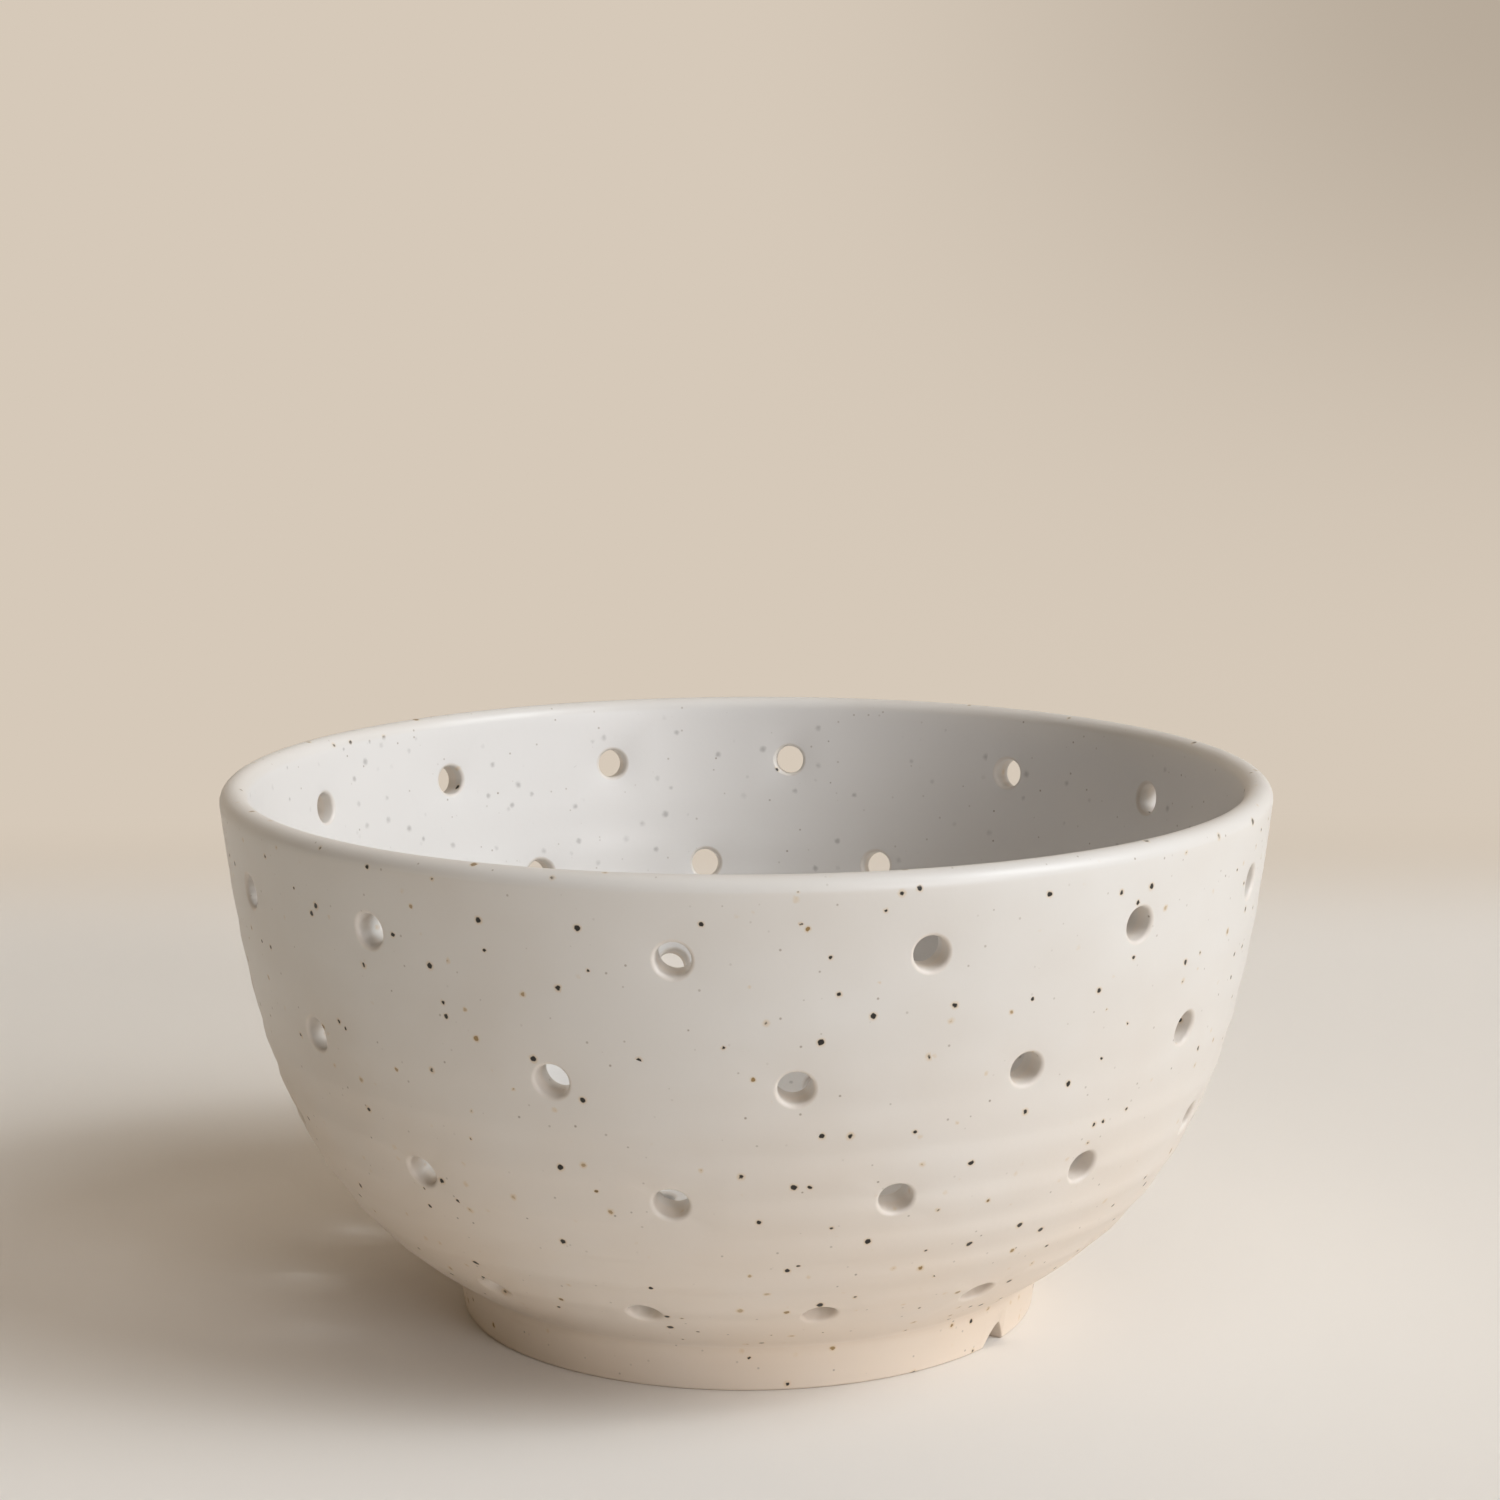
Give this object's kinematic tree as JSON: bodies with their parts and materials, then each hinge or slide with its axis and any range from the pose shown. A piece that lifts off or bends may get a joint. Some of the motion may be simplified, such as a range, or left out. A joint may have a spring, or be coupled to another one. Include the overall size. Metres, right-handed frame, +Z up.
{
  "type": "berry colander bowl",
  "caption": "Round stoneware bowl with staggered rows of drain holes through its wall, and a notched foot ring, for rinsing and serving berries.",
  "frame": {"origin": "middle of the foot ring, on the surface that the bowl stands on", "axes": "+Z up along the axis on which the bowl was thrown, -Y towards the front as pictured"},
  "size_m": [0.165, 0.165, 0.0855],
  "materials": {
    "speckled_glaze": "satin"
  },
  "bodies": {
    "root": {"bowl_body": "speckled_glaze", "foot_ring": "speckled_glaze"}
  },
  "joints": []
}
